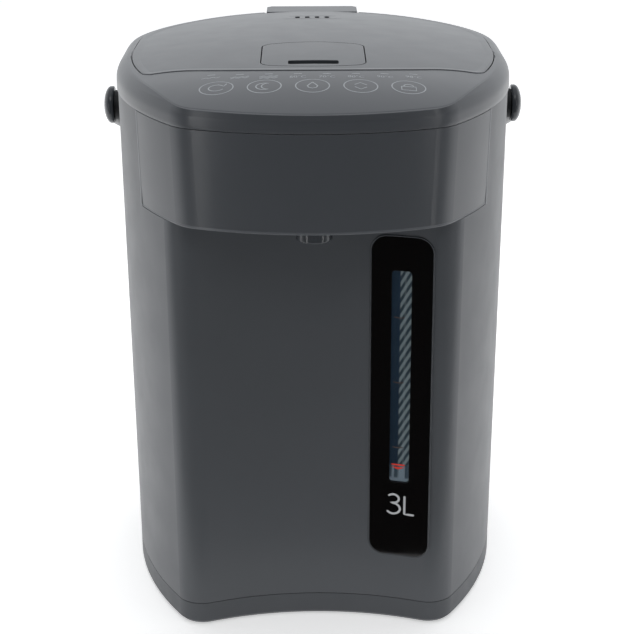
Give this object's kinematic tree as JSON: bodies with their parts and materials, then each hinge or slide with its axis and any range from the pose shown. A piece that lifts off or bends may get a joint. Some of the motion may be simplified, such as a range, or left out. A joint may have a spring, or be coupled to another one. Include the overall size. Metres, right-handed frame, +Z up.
{
  "type": "electric thermo pot",
  "caption": "Electric thermo pot with a hinged lid, pumped front spout over a hollow for a cup, water gauge, control panel and folding carrying handle.",
  "frame": {"origin": "on the surface the pot stands on, on the upright axis of the inner pot and of the round back", "axes": "+Z up, -Y to the front where the spout is, +X to the right seen from behind the object looking to +Y"},
  "size_m": [0.2442, 0.302, 0.308],
  "materials": {
    "casing": "satin",
    "cover": "satin",
    "lid": "satin",
    "base": "matte",
    "black": "gloss",
    "inner_plastic": "matte",
    "dark_plastic": "matte",
    "rubber": "matte",
    "foot": "matte",
    "steel": "brushed",
    "aluminium": "satin",
    "clear": "clear",
    "board": "satin",
    "insulation": "matte",
    "brass": "satin"
  },
  "bodies": {
    "base": {"base_plate": "dark_plastic", "base_ring": "base", "base_screws": "steel", "board_components": "dark_plastic", "board_screws": "steel", "body_shell": "casing", "control_board": "board", "control_film": "cover", "delivery_hose": "rubber", "foot_ring": "foot", "front_housing": "cover", "gauge_bezel": "black", "gauge_channel": "inner_plastic", "gauge_window": "clear", "handle_pivots": "dark_plastic", "heater_plate": "aluminium", "hinge_pin": "steel", "indicator_lights": "clear", "inlet_pins": "brass", "inner_pot": "steel", "insulation_sleeve": "insulation", "pot_base": "steel", "pot_bracket": "steel", "pot_seal": "rubber", "power_board": "board", "power_inlet": "dark_plastic", "pump_housing": "inner_plastic", "pump_motor": "steel", "riser_hose": "rubber", "sight_tube": "clear", "spout_nozzle": "dark_plastic", "suction_hose": "rubber", "tact_switches": "dark_plastic", "thermal_fuse": "inner_plastic", "thermostat": "dark_plastic", "top_cover": "cover", "well_collar": "inner_plastic"},
    "lid": {"lid_outer": "lid", "lid_inner": "inner_plastic", "lid_gasket": "rubber", "steam_chamber": "inner_plastic", "lever_pin": "steel"},
    "lever": {"release_lever": "cover"},
    "latch": {"latch_bolt": "inner_plastic"},
    "handle": {"carry_handle": "cover", "handle_caps": "cover"},
    "impeller": {"pump_impeller": "inner_plastic"},
    "key_1": {"key_plunger_1": "inner_plastic"},
    "key_2": {"key_plunger_2": "inner_plastic"},
    "key_3": {"key_plunger_3": "inner_plastic"},
    "key_4": {"key_plunger_4": "inner_plastic"},
    "key_5": {"key_plunger_5": "inner_plastic"}
  },
  "joints": [
    {"name": "lid_hinge", "type": "hinge", "parent": "base", "child": "lid", "pos_m": [0, 0.114, 0.2926], "axis": [-1, 0, 0], "range_deg": [0, 95]},
    {"name": "lever_hinge", "type": "hinge", "parent": "lid", "child": "lever", "pos_m": [0, -0.0555, 0.30508], "axis": [-1, 0, 0], "range_deg": [0, 13], "stiffness_Nm_per_rad": 0.05},
    {"name": "latch_slide", "type": "slide", "parent": "lid", "child": "latch", "axis": [0, 1, 0], "range_m": [0, 0.005]},
    {"name": "handle_hinge", "type": "hinge", "parent": "base", "child": "handle", "pos_m": [0, 0, 0.262], "axis": [1, 0, 0], "range_deg": [0, 135]},
    {"name": "key_1_press", "type": "slide", "parent": "base", "child": "key_1", "axis": [0, 0, -1], "range_m": [0, 0.0003], "stiffness_N_per_m": 400},
    {"name": "key_2_press", "type": "slide", "parent": "base", "child": "key_2", "axis": [0, 0, -1], "range_m": [0, 0.0003], "stiffness_N_per_m": 400},
    {"name": "key_3_press", "type": "slide", "parent": "base", "child": "key_3", "axis": [0, 0, -1], "range_m": [0, 0.0003], "stiffness_N_per_m": 400},
    {"name": "key_4_press", "type": "slide", "parent": "base", "child": "key_4", "axis": [0, 0, -1], "range_m": [0, 0.0003], "stiffness_N_per_m": 400},
    {"name": "key_5_press", "type": "slide", "parent": "base", "child": "key_5", "axis": [0, 0, -1], "range_m": [0, 0.0003], "stiffness_N_per_m": 400},
    {"name": "impeller_spin", "type": "hinge", "parent": "base", "child": "impeller", "pos_m": [0, -0.077, 0.04], "axis": [0, 0, 1], "continuous": true}
  ],
  "couplings": [
    {"joint": "latch_slide", "follows": "lever_hinge", "m_per_rad": 0.0214}
  ]
}
